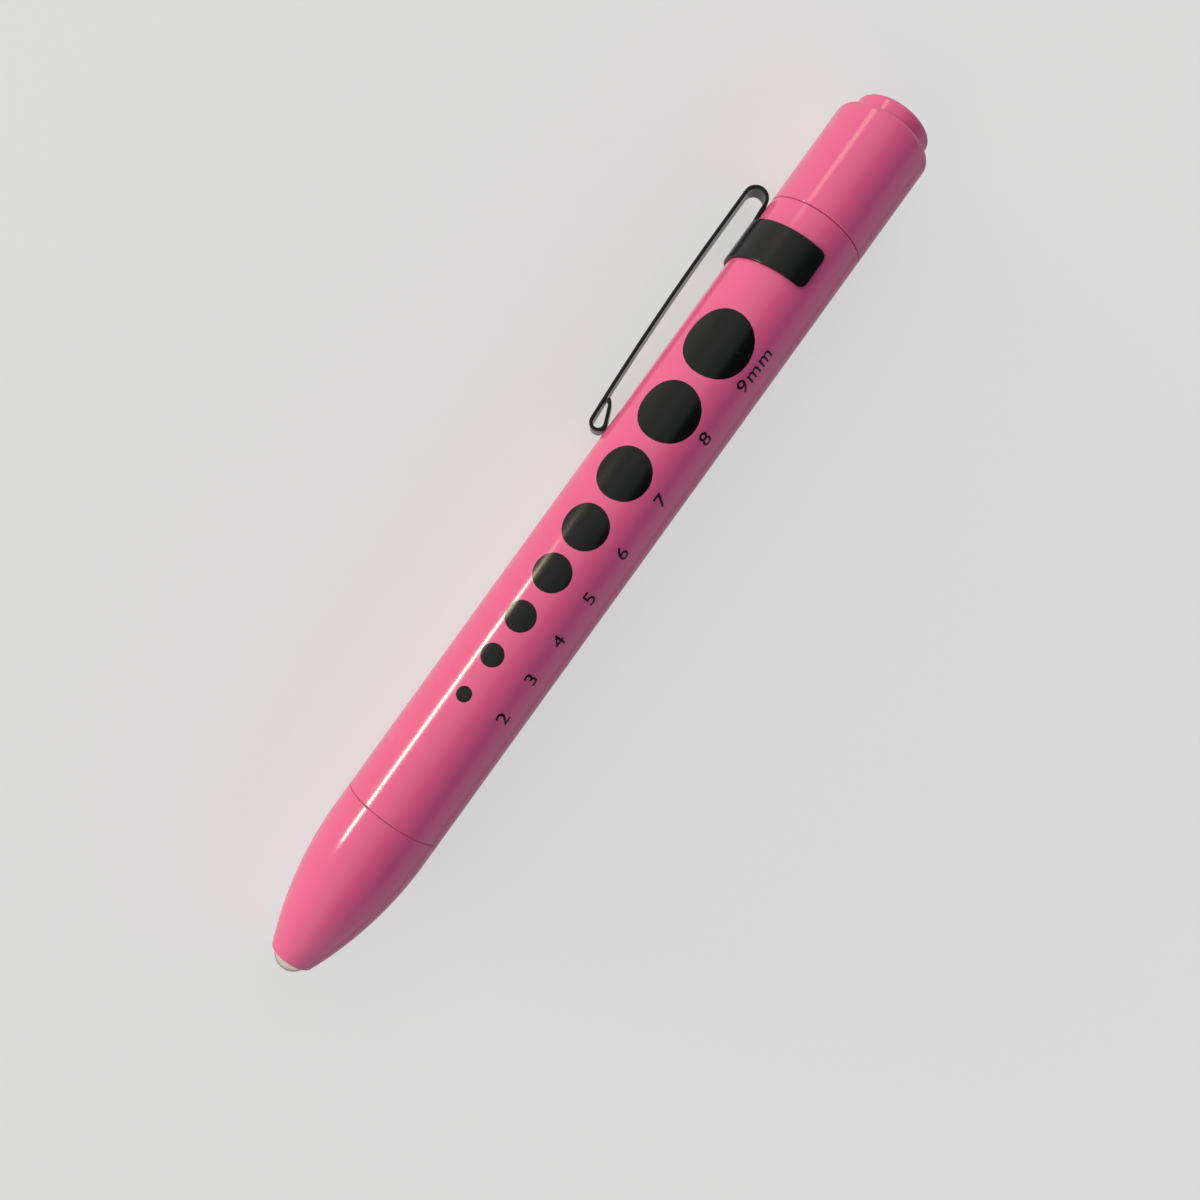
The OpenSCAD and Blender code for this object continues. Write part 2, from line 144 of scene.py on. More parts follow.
class PenlightSizes(bpy.types.PropertyGroup):
    """Sizes of the fine forms"""
    case_radius: length("Case radius", "Outer radius of the barrel", girth("head_shell"))
    barrel_length: length("Barrel length", "From seam to seam", span("head_shell")[0] * MM)
    cap_length: length("Cap length", "Tail cap from its seam to its end", -span("tail_cap")[0] * MM)
    head_length: length("Head length", "Head from its seam to the nose",
                        (span("head_shell")[1] - span("head_shell")[0]) * MM)
    head_straight: length("Head straight", "Straight stretch before the ogive", 3 * MM)
    bore_radius: length("Bore radius", "Bore round the cells", 5.4 * MM)
    socket_radius: length("Socket radius", "Plain bore that takes a neck", 6.25 * MM)
    neck_length: length("Neck length", "Threaded neck at each end", 4.5 * MM)
    neck_radius: length("Neck radius", "Crest of the thread", 6.17 * MM)
    thread_pitch: length("Thread pitch", "Distance from crest to crest", 0.75 * MM)
    thread_depth: length("Thread depth", "Crest to root", 0.36 * MM)
    seam_edge: length("Seam edge", "Rounded edge on each side of a seam", 0.16 * MM)
    cap_gap: length("Cap gap", "Dark line between the barrel and the tail cap", 0.08 * MM)
    head_gap: length("Head gap", "Dark line between the barrel and the head", 0.02 * MM)
    cap_shoulder: length("Cap shoulder", "Rounded edge at the end of the tail cap", 0.78 * MM)
    button_radius: length("Button radius", "Side of the push button", 5.28 * MM)
    button_edge: length("Button edge", "Rounded edge of the push button", 0.5 * MM)
    clip_thickness: length("Clip thickness", "Thickness of the spring strip", 0.45 * MM)
    clip_width: length("Clip width", "Width of the spring strip", 3.2 * MM)
    band_width: length("Band width", "Width of the band round the barrel", 5.8 * MM)
    band_setback: length("Band setback", "From the tail seam to the band", 3.8 * MM)
    bend_height: length("Bend height", "From the tail seam to the middle of the bend", 1.17 * MM)
    arm_distance: length("Arm distance", "From the pen's axis to the middle of the arm", 9.925 * MM)
    arm_straight: length("Arm straight", "Straight stretch of the arm next to the bend", 6.2 * MM)
    arm_bow: length("Arm bow", "Bowed stretch of the arm, along the pen", 28.4 * MM)
    curl_radius: length("Curl radius", "Curled tip, at the middle of the strip", 0.925 * MM)
    numeral_height: length("Numeral height", "Height of the printed numerals", 1.92 * MM)
    ink_thickness: length("Ink thickness", "Printed ink on the barrel", 0.015 * MM)
    lamp_radius: length("Lamp radius", "Clear body of the lamp", 2.5 * MM)
    flange_radius: length("Flange radius", "Flange at the foot of the lamp", 2.9 * MM)
    flange_height: length("Flange height", "Thickness of the lamp's flange", 1 * MM)


class PenlightColours(bpy.types.PropertyGroup):
    """Colours of the finishes"""
    enamel: colour("Enamel", "Paint of the head, barrel, tail cap and button", "#DF6394")
    ink: colour("Ink", "Printed dots and numerals", "#0C0F0F")
    clip: colour("Clip", "Blackened spring steel", "#0F1213")
    floor: colour("Floor", "Paper under the pen", "#DCDCDC")


class PenlightStage(bpy.types.PropertyGroup):
    """Camera and lights"""
    focal_length: bpy.props.FloatProperty(
        name="Focal length", description="Lens, in millimetres on a 36 mm sensor", default=34.12,
        subtype="DISTANCE_CAMERA")
    camera_height: length("Camera height", "From the pen's axis to the lens", 143.31 * MM)
    camera_station: length("Camera station", "From the head seam towards the tail", 33.62 * MM)
    camera_side: length("Camera side", "Sideways from the axis, away from the clip", 3.75 * MM)
    aim_station: length("Aim station", "Middle of the picture, from the head seam", 36.67 * MM)
    aim_side: length("Aim side", "Middle of the picture, away from the clip", 5.23 * MM)
    camera_turn: degrees("Camera turn", "Angle at which the pen stands in the picture", 54.18)
    camera_round: degrees("Camera round the pen", "Angle from the clip to the camera", 92.5)
    key_power: amount("Key power", "Strip light that draws the streak", 5.4, "POWER")
    tail_power: amount("Tail power", "Strip light that shines along the tail cap", 0.5, "POWER")
    box: amount("Soft box", "Long soft box along the clip's side", 0.62)
    box_low: degrees("Soft box low", "Lower edge of the soft box over the horizon", 18)
    box_high: degrees("Soft box high", "Upper edge of the soft box over the horizon", 71)
    wall: amount("Wall", "Light from the pale wall that stands all round", 0.76)
    glow: amount("Paper glow", "Share of its own colour that the paper shows unlit", 0.76)


def add(tree, kind, inputs=None, **settings):
    """Adds a node, with its settings, and with its inputs set or linked."""
    node = tree.nodes.new("ShaderNode" + kind)
    for name, value in settings.items():
        setattr(node, name, value)
    for name, value in (inputs or {}).items():
        if isinstance(value, bpy.types.NodeSocket):
            tree.links.new(value, node.inputs[name])
        else:
            node.inputs[name].default_value = value
    return node


def blank(name):
    """A new material with an empty node tree, and the tree."""
    material = bpy.data.materials.new(name)
    material.use_nodes = True
    material.node_tree.nodes.clear()
    return material, material.node_tree


def per(size):
    """Texture scale at which a pattern repeats about every so many millimetres."""
    return 1 / (size * MM)


def shade(tint, factor):
    """A colour made darker or lighter by a factor."""
    return tuple(min(1, part * factor) for part in tint[:3]) + (1.0,)


def gloss_enamel(paint):
    """Gloss enamel, sprayed on turned aluminium and baked: an even colour with faint clouds, and a
    clear hard gloss whose streaks waver a little on the orange peel."""
    material, tree = blank("gloss_enamel")
    place = add(tree, "TexCoord").outputs["Object"]
    cloud = add(tree, "TexNoise", {"Vector": place, "Scale": per(7), "Detail": 3})
    tone = add(tree, "Mix", {0: cloud.outputs[0], 6: shade(paint, 0.955), 7: shade(paint, 1.045)},
               data_type="RGBA")
    peel = add(tree, "TexNoise", {"Vector": place, "Scale": per(3), "Detail": 1})
    dip = add(tree, "Bump", {"Height": peel.outputs[0], "Strength": 0.013, "Distance": 0.02 * MM})
    shader = add(tree, "BsdfPrincipled", {
        "Base Color": tone.outputs[2], "Roughness": 0.42, "IOR": 1.5, "Specular IOR Level": 0.0,
        "Coat Weight": 0.85, "Coat Roughness": 0.15, "Normal": dip.outputs[0],
        "Coat Normal": dip.outputs[0]})
    add(tree, "OutputMaterial", {"Surface": shader.outputs[0]})
    return material


def rubbed_shaded_enamel(paint):
    """The same enamel where it thins over a turned edge, with specks of bare aluminium, and a shade
    deeper than the paint as painted shade for the seam's gap."""
    material, tree = blank("rubbed_shaded_enamel")
    place = add(tree, "TexCoord").outputs["Object"]
    fleck = add(tree, "TexNoise", {"Vector": place, "Scale": per(0.5), "Detail": 3})
    bare = add(tree, "MapRange", {"Value": fleck.outputs[0], "From Min": 0.66, "From Max": 0.74})
    # The tone a shade deeper than the paint is painted shade for the seam's gap; the flecks are
    # bare aluminium
    tone = add(tree, "Mix", {0: bare.outputs[0], 6: shade(paint, 0.85), 7: linear("#D9B9C3")},
               data_type="RGBA")
    shader = add(tree, "BsdfPrincipled", {
        "Base Color": tone.outputs[2], "Metallic": bare.outputs[0], "Roughness": 0.36,
        "Coat Weight": 0.4, "Coat Roughness": 0.1})
    add(tree, "OutputMaterial", {"Surface": shader.outputs[0]})
    return material


def turned_aluminium():
    """Bare aluminium from the lathe: pale metal with fine tool rings along the pen."""
    material, tree = blank("turned_aluminium")
    place = add(tree, "TexCoord").outputs["Object"]
    # Tool rings of about 0.05 mm are too fine to show, so they are drawn 0.88 mm apart. At a scale
    # of 1 the wave texture repeats every 0.1 pi
    rings = add(tree, "TexWave", {"Vector": place, "Scale": per(0.88) * 0.1 * math.pi,
                                  "Distortion": 0.6, "Detail": 2}, bands_direction="X")
    smear = add(tree, "TexNoise", {"Vector": place, "Scale": per(1.6), "Detail": 3})
    tone = add(tree, "Mix", {0: smear.outputs[0], 6: linear("#B9BBBD"), 7: linear("#DADBDC")},
               data_type="RGBA")
    rough = add(tree, "MapRange", {"Value": smear.outputs[0], "To Min": 0.24, "To Max": 0.4})
    groove = add(tree, "Bump", {"Height": rings.outputs[1], "Strength": 0.2, "Distance": 0.01 * MM})
    shader = add(tree, "BsdfPrincipled", {
        "Base Color": tone.outputs[2], "Metallic": 1.0, "Roughness": rough.outputs[0],
        "Normal": groove.outputs[0]})
    add(tree, "OutputMaterial", {"Surface": shader.outputs[0]})
    return material


def printing_ink(black):
    """Solid black pad-printing ink: a smooth film, a touch duller than the paint under it."""
    material, tree = blank("printing_ink")
    place = add(tree, "TexCoord").outputs["Object"]
    grain = add(tree, "TexNoise", {"Vector": place, "Scale": per(0.25), "Detail": 2})
    tone = add(tree, "Mix", {0: grain.outputs[0], 6: shade(black, 0.7), 7: shade(black, 1.5)},
               data_type="RGBA")
    rough = add(tree, "MapRange", {"Value": grain.outputs[0], "To Min": 0.16, "To Max": 0.22})
    shader = add(tree, "BsdfPrincipled", {
        "Base Color": tone.outputs[2], "Roughness": rough.outputs[0], "IOR": 1.5,
        "Specular IOR Level": 0.3})
    add(tree, "OutputMaterial", {"Surface": shader.outputs[0]})
    return material


def blackened_steel(black):
    """Spring steel, rolled, stamped and blackened under lacquer: a satin black with faint rolling
    lines, which turns pale where it is seen along the surface."""
    material, tree = blank("blackened_steel")
    place = add(tree, "TexCoord").outputs["Object"]
    along = add(tree, "Mapping", {"Vector": place, "Scale": (per(9), per(0.3), per(0.3))})
    lines = add(tree, "TexNoise", {"Vector": along.outputs[0], "Scale": 1.0, "Detail": 3})
    tone = add(tree, "Mix", {0: lines.outputs[0], 6: shade(black, 0.75), 7: shade(black, 1.35)},
               data_type="RGBA")
    rough = add(tree, "MapRange", {"Value": lines.outputs[0], "To Min": 0.27, "To Max": 0.35})
    scratch = add(tree, "Bump", {"Height": lines.outputs[0], "Strength": 0.1,
                                 "Distance": 0.02 * MM})
    shader = add(tree, "BsdfPrincipled", {
        "Base Color": tone.outputs[2], "Roughness": rough.outputs[0], "IOR": 1.5,
        "Specular IOR Level": 0.28, "Normal": scratch.outputs[0]})
    add(tree, "OutputMaterial", {"Surface": shader.outputs[0]})
    return material


def cast_epoxy():
    """Cast clear epoxy: glassy, a little creamy from within, and slightly uneven from the mould."""
    material, tree = blank("cast_epoxy")
    place = add(tree, "TexCoord").outputs["Object"]
    ripple = add(tree, "TexNoise", {"Vector": place, "Scale": per(1.5), "Detail": 1})
    dip = add(tree, "Bump", {"Height": ripple.outputs[0], "Strength": 0.05, "Distance": 0.02 * MM})
    shader = add(tree, "BsdfPrincipled", {
        "Base Color": linear("#F6EEE4"), "Roughness": 0.05, "IOR": 1.52,
        "Transmission Weight": 0.72, "Normal": dip.outputs[0]})
    add(tree, "OutputMaterial", {"Surface": shader.outputs[0]})
    return material


# Darker and lighter tone, size of the grain in millimetres, roughness and metallic
GRAINED = {
    # Phosphor cast in silicone: a matt yellow blob over the chip
    "yellow_phosphor": ("#D9C24A", "#F0E08A", 0.15, 0.6, 0.0),
    # Steel leads, dipped in tin: bright, slightly frosted by the dip
    "tin_dipped_steel": ("#A9ADB1", "#CFD2D5", 0.4, 0.3, 1.0),
    # Moulded nylon: white, faintly waxy
    "white_nylon": ("#E6E4DA", "#F4F3EC", 0.6, 0.48, 0.0),
    # Glass-epoxy board under green solder mask: dark, with a soft sheen
    "masked_board": ("#215231", "#2F6F42", 0.5, 0.38, 0.0),
    # Fired ceramic chip with a black overglaze: small and nearly matt
    "glazed_chip": ("#1B1B1E", "#2C2C31", 0.2, 0.5, 0.0),
    # Drawn brass: warm and lightly tarnished
    "drawn_brass": ("#B08D3E", "#D8B765", 0.7, 0.3, 1.0),
    # Printed film, shrunk on: grey with a soft sheen
    "printed_film": ("#55606C", "#687582", 0.8, 0.36, 0.0),
    # Nickel-plated steel can: bright bare metal
    "nickel_plate": ("#B4B2AC", "#D6D4CE", 0.5, 0.26, 1.0),
    # Hard-drawn spring wire with a nickel flash: bright, with a faint mottle
    "drawn_wire": ("#9DA0A3", "#C9CBCD", 0.3, 0.26, 1.0),
    # Moulded acetal: grey, smooth and slippery
    "grey_acetal": ("#B4B9BD", "#C9CDD0", 0.5, 0.34, 0.0),
}


def grained(name):
    """A material with a fine grain, from its row in the table."""
    dark, light, size, roughness, metallic = GRAINED[name]
    material, tree = blank(name)
    place = add(tree, "TexCoord").outputs["Object"]
    grain = add(tree, "TexNoise", {"Vector": place, "Scale": per(size), "Detail": 4})
    tone = add(tree, "Mix", {0: grain.outputs[0], 6: linear(dark), 7: linear(light)},
               data_type="RGBA")
    rough = add(tree, "MapRange", {"Value": grain.outputs[0], "To Min": roughness - 0.06,
                                   "To Max": roughness + 0.06})
    dip = add(tree, "Bump", {"Height": grain.outputs[0], "Strength": 0.1, "Distance": 0.03 * MM})
    shader = add(tree, "BsdfPrincipled", {
        "Base Color": tone.outputs[2], "Metallic": metallic, "Roughness": rough.outputs[0],
        "Normal": dip.outputs[0]})
    add(tree, "OutputMaterial", {"Surface": shader.outputs[0]})
    return material


def studio_paper(pale, glow):
    """Matt paper floor: it takes the shadow, and the camera and the clear parts see it pale. The
    gloss sees it with painted light on the clip's side and painted shade on the far side."""
    material, tree = blank("studio_paper")
    path = add(tree, "LightPath")
    place = add(tree, "SeparateXYZ", {0: add(tree, "TexCoord").outputs["Object"]})
    # Painted light and shade for the gloss: glossy rays see the paper glow brighter on the clip's
    # side, where the lamps stand, and dimmer on the far side, as if in the pen's shadow
    side = add(tree, "MapRange", {
        "Value": place.outputs["Y"], "From Min": -12 * MM, "From Max": 12 * MM, "To Min": 1.3,
        "To Max": 0.45}, interpolation_type="SMOOTHSTEP")
    seen = add(tree, "Math", {0: path.outputs["Is Glossy Ray"], 1: side.outputs[0]},
               operation="MULTIPLY").outputs[0]
    for kind in ("Is Camera Ray", "Is Transmission Ray"):
        seen = add(tree, "Math", {0: seen, 1: path.outputs[kind]}, operation="MAXIMUM").outputs[0]
    lift = add(tree, "Math", {0: seen, 1: glow}, operation="MULTIPLY")
    shader = add(tree, "BsdfPrincipled", {
        "Base Color": shade(pale, 0.5), "Roughness": 0.9, "Specular IOR Level": 0.1,
        "Emission Color": pale, "Emission Strength": lift.outputs[0]})
    add(tree, "OutputMaterial", {"Surface": shader.outputs[0]})
    return material


def finish(maker, *values):
    """The material that bears its maker's name, made the first time that it is asked for."""
    return bpy.data.materials.get(maker.__name__) or maker(*values)


def grain_finish(name):
    """The grained material of that name, made the first time that it is asked for."""
    return bpy.data.materials.get(name) or grained(name)


def case_finishes():
    """Enamel, rubbed enamel darkened with painted seam shade, and bare metal, in the order that the
    case pieces use them.
    """
    paint = tuple(bpy.context.scene.penlight_colours.enamel)
    return [finish(gloss_enamel, paint), finish(rubbed_shaded_enamel, paint), finish(turned_aluminium)]


def in_mm():
    """The sizes in millimetres."""
    sizes = bpy.context.scene.penlight_sizes
    return SimpleNamespace(**{name: getattr(sizes, name) / MM
                              for name in PenlightSizes.__annotations__})


def arc(centre, radius, start, end, steps):
    """Points on an arc, with its angles in radians."""
    angles = [start + (end - start) * i / steps for i in range(steps + 1)]
    return [(centre[0] + radius * math.cos(a), centre[1] + radius * math.sin(a)) for a in angles]


def rounded(corners, steps=5):
    """Closed outline whose corners, given as (x, y) or (x, y, radius), are rounded."""
    outline = []
    for i, corner in enumerate(corners):
        here = Vector(corner[:2])
        if len(corner) < 3:
            outline.append(tuple(here))
            continue
        back = (Vector(corners[i - 1][:2]) - here).normalized()
        on = (Vector(corners[(i + 1) % len(corners)][:2]) - here).normalized()
        half = back.angle(on) / 2
        centre = here + (back + on).normalized() * corner[2] / math.sin(half)
        first = here + back * corner[2] / math.tan(half) - centre
        last = here + on * corner[2] / math.tan(half) - centre
        start = math.atan2(first.y, first.x)
        sweep = (math.atan2(last.y, last.x) - start + math.pi) % (2 * math.pi) - math.pi
        outline += arc(centre, corner[2], start, start + sweep, steps)
    return outline


def lathe(bm, outline, steps=192, pick=None):
    """Turns a closed outline of (radius, height) points round the pen's axis. pick gives the
    material's number at a radius and height."""
    made = bmesh.new()
    points = []
    # A ring close to each end of a long stretch keeps its smooth shading straight
    close, long = 0.05, 0.6
    for here, there in zip(outline, outline[1:] + outline[:1]):
        points.append(made.verts.new((here[0], 0, here[1])))
        stretch = math.dist(here, there)
        for share in (close / stretch, 1 - close / stretch) if stretch > long else ():
            points.append(made.verts.new((here[0] + (there[0] - here[0]) * share, 0,
                                          here[1] + (there[1] - here[1]) * share)))
    edges = [made.edges.new((a, b)) for a, b in zip(points, points[1:] + points[:1])
             if max(a.co.x, b.co.x) > 1e-6]
    bmesh.ops.spin(made, geom=points + edges, cent=(0, 0, 0), axis=(0, 0, 1), angle=2 * math.pi,
                   steps=steps, use_merge=True)
    bmesh.ops.remove_doubles(made, verts=made.verts, dist=1e-4)
    for face in made.faces:
        middle = face.calc_center_median()
        face.material_index = pick(math.hypot(middle.x, middle.y), middle.z) if pick else 0
    join(bm, made)


def join(bm, made):
    """Adds one set of faces to another."""
    held = bpy.data.meshes.new("held")
    made.to_mesh(held)
    made.free()
    bm.from_mesh(held)
    bpy.data.meshes.remove(held)


def helix(bm, section, turns, rings, radius, height, swell=lambda share: 1, material=0):
    """Winds a section of (outward, upward) points round the axis. radius, height and swell give the
    section's place and the share of its outward size, along the winding."""
    count = round(turns * rings)
    skins = []
    for i in range(count + 1):
        share, a = i / count, 2 * math.pi * i / rings
        skins.append([bm.verts.new(((radius(share) + u * swell(share)) * math.cos(a),
                                    (radius(share) + u * swell(share)) * math.sin(a),
                                    height(share) + v)) for u, v in section])
    faces = [bm.faces.new((here[k - 1], here[k], there[k], there[k - 1]))
             for here, there in zip(skins, skins[1:]) for k in range(len(section))]
    faces += [bm.faces.new(skins[0]), bm.faces.new(skins[-1][::-1])]
    for face in faces:
        face.material_index = material


def ramp(low, high, value):
    """Smooth step from 0 to 1."""
    share = min(1, max(0, (value - low) / (high - low)))
    return share * share * (3 - 2 * share)


def slice_up(bm, axis, places):
    """Cuts flat faces on lines across one axis, so that they can follow a curve."""
    normal = Vector((axis == 0, axis == 1, 0))
    for place in places:
        bmesh.ops.bisect_plane(bm, geom=bm.verts[:] + bm.edges[:] + bm.faces[:], dist=1e-5,
                               plane_co=normal * place, plane_no=normal)


def thicken(bm, low, high):
    """Gives flat faces a thickness between two heights."""
    made = bmesh.ops.extrude_face_region(bm, geom=bm.faces[:])["geom"]
    top = {part for part in made if isinstance(part, bmesh.types.BMVert)}
    for point in bm.verts:
        point.co.z = high if point in top else low
    bmesh.ops.recalc_face_normals(bm, faces=bm.faces)


def embolden(bm, weight):
    """Moves the outline of flat faces out by a weight."""
    outward = {}
    for edge in bm.edges:
        if edge.is_boundary:
            loop = edge.link_loops[0]
            way = loop.link_loop_next.vert.co - loop.vert.co
            side = Vector((way.y, -way.x, 0)).normalized()
            for point in edge.verts:
                outward[point] = outward.get(point, Vector()) + side
    for point, both in outward.items():
        point.co += both * 2 * weight / both.length_squared


def steps_between(low, high, step):
    """Even places between two ends, no further apart than a step, without the ends."""
    count = max(1, math.ceil((high - low) / step))
    return [low + (high - low) * i / count for i in range(1, count)]


def settle(name, bm, finishes, body=None, nodes=(), sharp=35):
    """Makes the piece an object in the frame of the solids. It rides on a body if one is named."""
    bmesh.ops.recalc_face_normals(bm, faces=bm.faces)
    bm.transform(PEN)
    mesh = bpy.data.meshes.new(name)
    bm.to_mesh(mesh)
    bm.free()
    for material in finishes:
        mesh.materials.append(material)
    mesh.shade_smooth()
    mesh.set_sharp_from_angle(angle=math.radians(sharp))
    piece = bpy.data.objects.new(name, mesh)
    bpy.context.scene.collection.objects.link(piece)
    if body:
        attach(piece, body)
    if nodes:
        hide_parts(*nodes)
    return piece


def dress(material, *nodes):
    """Gives solids their finish."""
    for node in nodes:
        mesh = frame["nodes"][node].data
        mesh.materials.clear()
        mesh.materials.append(material)


def coil(name, node, low_radius, high_radius, wire, turns):
    """A spring of round wire with closed ends, in a node's place."""
    low, high = span(node)
    # Each end has nearly one closed turn
    closing = 0.9
    closed, live = closing / turns, high - low - 2 * wire - 4 * wire * closing

    def height(share):
        ends = min(share, closed) + max(0, share - 1 + closed)
        free = min(1, max(0, (share - closed) / (1 - 2 * closed)))
        return low + wire + ends / closed * 2 * wire * closing + free * live

    bm = bmesh.new()
    helix(bm, arc((0, 0), wire, 0, 2 * math.pi, 14)[:-1], turns, 40,
          lambda share: low_radius + (high_radius - low_radius) * share, height)
    piece = settle(name, bm, [grain_finish("drawn_wire")], None, [node])
    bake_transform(piece)


class PENLIGHT_OT_stage(bpy.types.Operator):
    """Set up the floor, the lights and the camera"""
    bl_idname = "penlight.stage"
    bl_label = "Stage"

    # Half the width of the paper, in metres
    PAPER = 0.4
    # Place, width and height of each lamp, in metres
    KEY_STRIP = ((0.19, -0.9, 0.066), 0.37, 0.07)
    TAIL_STRIP = ((-0.52, -0.9, 0.2), 0.2, 0.16)

    def execute(self, context):
        stage, scene = context.scene.penlight_stage, context.scene
        self.floor(scene)
        self.camera(scene, stage, in_mm())
        self.light(scene, "key_strip", stage.key_power, *self.KEY_STRIP)
        self.light(scene, "tail_strip", stage.tail_power, *self.TAIL_STRIP)
        self.surroundings(scene, stage)
        scene.view_settings.view_transform = "Standard"
        return {"FINISHED"}

    def floor(self, scene):
        """A sheet of paper a hair under the pen."""
        bm = bmesh.new()
        bmesh.ops.create_grid(bm, x_segments=8, y_segments=8, size=self.PAPER)
        mesh = bpy.data.meshes.new("paper_floor")
        bm.to_mesh(mesh)
        bm.free()
        pale = tuple(scene.penlight_colours.floor)
        mesh.materials.append(studio_paper(pale, scene.penlight_stage.glow))
        paper = bpy.data.objects.new("paper_floor", mesh)
        paper.location.z = CAD_BOX[0][2] - 0.02 * MM
        scene.collection.objects.link(paper)

    def camera(self, scene, stage, size):
        """The camera, placed round the pen from the clip and along it from the head seam."""
        turn = Matrix.Rotation(-stage.camera_round, 4, "Z")

        def spot(station, side, height):
            return PEN @ turn @ Vector((height / MM, -side / MM, size.barrel_length - station / MM))

        eye = spot(stage.camera_station, stage.camera_side, stage.camera_height)
        back = (eye - spot(stage.aim_station, stage.aim_side, 0)).normalized()
        tail = Vector((-1, 0, 0))
        tail = (tail - back * tail.dot(back)).normalized()
        across = back.cross(tail)
        c, s = math.cos(stage.camera_turn), math.sin(stage.camera_turn)
        lens = bpy.data.cameras.new("camera")
        lens.lens = stage.focal_length
        lens.sensor_width = 36
        lens.clip_start = 0.01
        holder = bpy.data.objects.new("camera", lens)
        axes = Matrix((tail * c - across * s, tail * s + across * c, back)).transposed()
        holder.matrix_world = Matrix.Translation(eye) @ axes.to_4x4()
        scene.collection.objects.link(holder)
        scene.camera = holder

    def surroundings(self, scene, stage):
        """A long soft box on the clip's side, and a pale wall all round, which the camera, the
        gloss and the clear parts see in the paper's colour."""
        world = bpy.data.worlds.new("studio")
        world.use_nodes = True
        tree = world.node_tree
        tree.nodes.clear()
        way = add(tree, "SeparateXYZ", {0: add(tree, "TexCoord").outputs["Generated"]})
        aside = add(tree, "Math", {0: way.outputs["Y"], 1: -1}, operation="MULTIPLY")
        rise = add(tree, "Math", {0: way.outputs["Z"], 1: aside.outputs[0]}, operation="ARCTAN2")
        box = stage.box
        # Half the softness of each edge, in radians, is negative where the box ends
        for edge, soft in ((stage.box_low, 0.08), (stage.box_high, -0.16)):
            box = add(tree, "MapRange", {
                "Value": rise.outputs[0], "From Min": edge - soft, "From Max": edge + soft,
                "To Max": box}, interpolation_type="SMOOTHSTEP").outputs[0]
        # The wall fades out overhead
        wall = add(tree, "MapRange", {"Value": way.outputs["Z"], "From Min": 0.8, "From Max": 0.35},
                   interpolation_type="SMOOTHSTEP").outputs[0]
        level = add(tree, "Math", {0: wall, 1: stage.wall, 2: box}, operation="MULTIPLY_ADD")
        path = add(tree, "LightPath")
        seen = path.outputs["Is Camera Ray"]
        for kind in ("Is Glossy Ray", "Is Transmission Ray"):
            seen = add(tree, "Math", {0: seen, 1: path.outputs[kind]},
                       operation="MAXIMUM").outputs[0]
        seen = add(tree, "Math", {0: seen, 1: wall}, operation="MULTIPLY").outputs[0]
        light = add(tree, "Background", {"Color": linear("#F4F5F6"), "Strength": level.outputs[0]})
        paper = add(tree, "Background", {"Color": tuple(scene.penlight_colours.floor)})
        both = add(tree, "MixShader", {0: seen, 1: light.outputs[0], 2: paper.outputs[0]})
        add(tree, "OutputWorld", {"Surface": both.outputs[0]})
        scene.world = world

    def light(self, scene, name, power, place, wide, tall):
        """A rectangular lamp beside the pen, tilted to face its axis."""
        lamp = bpy.data.lights.new(name, "AREA")
        lamp.shape, lamp.size, lamp.size_y, lamp.energy = "RECTANGLE", wide, tall, power
        lamp.color = linear("#FFEBC9")[:3]
        holder = bpy.data.objects.new(name, lamp)
        holder.location = place
        facing = PEN.translation - Vector(place)
        facing.x = 0
        holder.rotation_euler = facing.to_track_quat("-Z", "Y").to_euler()
        holder.visible_camera = False
        scene.collection.objects.link(holder)


